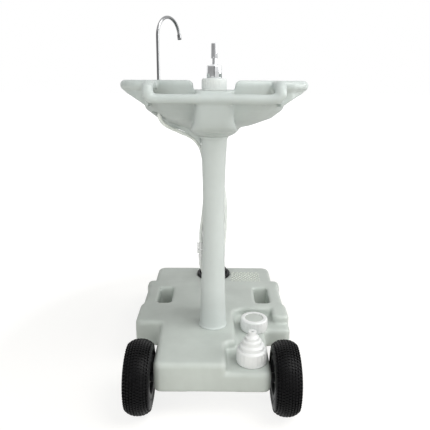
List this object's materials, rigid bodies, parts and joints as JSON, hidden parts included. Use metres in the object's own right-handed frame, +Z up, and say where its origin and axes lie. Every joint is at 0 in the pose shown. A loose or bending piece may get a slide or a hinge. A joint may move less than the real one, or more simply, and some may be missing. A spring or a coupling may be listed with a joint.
{
  "type": "portable wash stand",
  "caption": "Wheeled portable wash stand: basin with towel rails, tap and soap pump on a waisted column over a foot-pumped water tank with screw caps and tyred wheels",
  "frame": {"origin": "middle of the stand's box, on the ground", "axes": "+Z up, -Y towards the wheels, +Y towards the foot pump and the user, +X to the right seen from the wheels"},
  "size_m": [0.481, 0.79, 1.033],
  "materials": {
    "tank_plastic": "blow-moulded polyethylene, satin, faintly green grey",
    "basin_plastic": "blow-moulded polyethylene, satin, light grey",
    "column_plastic": "satin light grey",
    "cap_white": "white moulded plastic, slightly glossy",
    "cap_disc": "grey moulded plastic",
    "seal_rubber": "grey rubber",
    "tyre_rubber": "black rubber, shiny on the knobs",
    "rim_plastic": "dark grey moulded plastic",
    "bush_plastic": "ivory bearing plastic",
    "axle_steel": "plated steel",
    "pump_plastic": "black moulded plastic",
    "pump_rubber": "black rubber",
    "chrome": "polished chrome",
    "hose_plastic": "pale translucent white hose",
    "bottle_plastic": "translucent white moulded plastic"
  },
  "bodies": {
    "stand": {"tank": "tank_plastic", "axle": "axle_steel", "left_spacer": "rim_plastic", "right_spacer": "rim_plastic", "left_axle_cap": "rim_plastic", "right_axle_cap": "rim_plastic", "pump_housing": "pump_plastic", "pump_ring": "pump_plastic", "pump_bellows": "pump_rubber", "pump_spring": "axle_steel", "pump_outlet": "pump_plastic", "column": "column_plastic", "column_collar": "column_plastic", "basin": "basin_plastic", "near_rail": "basin_plastic", "left_rail": "basin_plastic", "right_rail": "basin_plastic", "drain_strainer": "chrome", "drain_gasket": "seal_rubber", "drain_nut": "cap_white", "drain_tail": "cap_white", "tap_base": "chrome", "tap_washer": "seal_rubber", "tap_nut": "chrome", "tap_tail": "cap_white", "valve_body": "cap_white", "valve_clip": "cap_white", "pump_hose": "hose_plastic", "tap_hose": "hose_plastic", "drain_hose": "hose_plastic", "waste_inlet": "cap_white"},
    "left_wheel": {"left_tyre": "tyre_rubber", "left_rim": "rim_plastic", "left_bush": "bush_plastic"},
    "right_wheel": {"right_tyre": "tyre_rubber", "right_rim": "rim_plastic", "right_bush": "bush_plastic"},
    "fill_cap": {"fill_cap": "cap_white", "fill_cap_disc": "cap_disc", "fill_seal": "seal_rubber"},
    "adapter_cap": {"adapter_cap": "cap_white", "adapter_seal": "seal_rubber"},
    "pump_pedal": {"pump_pedal": "pump_plastic"},
    "tap_spout": {"tap_spout": "chrome", "tap_tip": "chrome"},
    "soap_bottle": {"soap_bottle": "bottle_plastic", "soap_collar": "cap_white", "soap_base": "chrome", "soap_tube": "bottle_plastic", "soap_spring": "axle_steel"},
    "soap_stem": {"soap_stem": "chrome"},
    "soap_head": {"soap_head": "chrome"},
    "valve_lever": {"valve_lever": "cap_white"}
  },
  "joints": [
    {"name": "left_wheel_spin", "type": "hinge", "parent": "stand", "child": "left_wheel", "pos_m": [-0.197, -0.295, 0.1], "axis": [1, 0, 0], "continuous": true},
    {"name": "right_wheel_spin", "type": "hinge", "parent": "stand", "child": "right_wheel", "pos_m": [0.197, -0.295, 0.1], "axis": [1, 0, 0], "continuous": true},
    {"name": "fill_cap_lift", "type": "slide", "parent": "stand", "child": "fill_cap", "axis": [0, 0, 1], "range_m": [0, 0.06]},
    {"name": "adapter_cap_lift", "type": "slide", "parent": "stand", "child": "adapter_cap", "axis": [0, 0, 1], "range_m": [0, 0.06]},
    {"name": "pump_press", "type": "slide", "parent": "stand", "child": "pump_pedal", "axis": [0, 0, -1], "range_m": [0, 0.012], "stiffness_N_per_m": 1500, "springref_m": -0.003, "deforming": ["pump_bellows", "pump_spring"]},
    {"name": "tap_swivel", "type": "hinge", "parent": "stand", "child": "tap_spout", "pos_m": [-0.142, -0.166, 0.9], "axis": [0, 0, 1], "range_deg": [-90, 90]},
    {"name": "soap_bottle_lift", "type": "slide", "parent": "stand", "child": "soap_bottle", "axis": [0, 0, 1], "range_m": [0, 0.11]},
    {"name": "soap_press", "type": "slide", "parent": "soap_bottle", "child": "soap_stem", "axis": [0, 0, -1], "range_m": [0, 0.01], "stiffness_N_per_m": 800, "springref_m": -0.003, "deforming": ["soap_spring"]},
    {"name": "soap_head_swivel", "type": "hinge", "parent": "soap_stem", "child": "soap_head", "pos_m": [0, -0.271, 0.93], "axis": [0, 0, 1], "continuous": true},
    {"name": "valve_turn", "type": "hinge", "parent": "stand", "child": "valve_lever", "pos_m": [-0.0448, -0.084, 0.387], "axis": [1, 0, 0], "range_deg": [0, 90]}
  ]
}
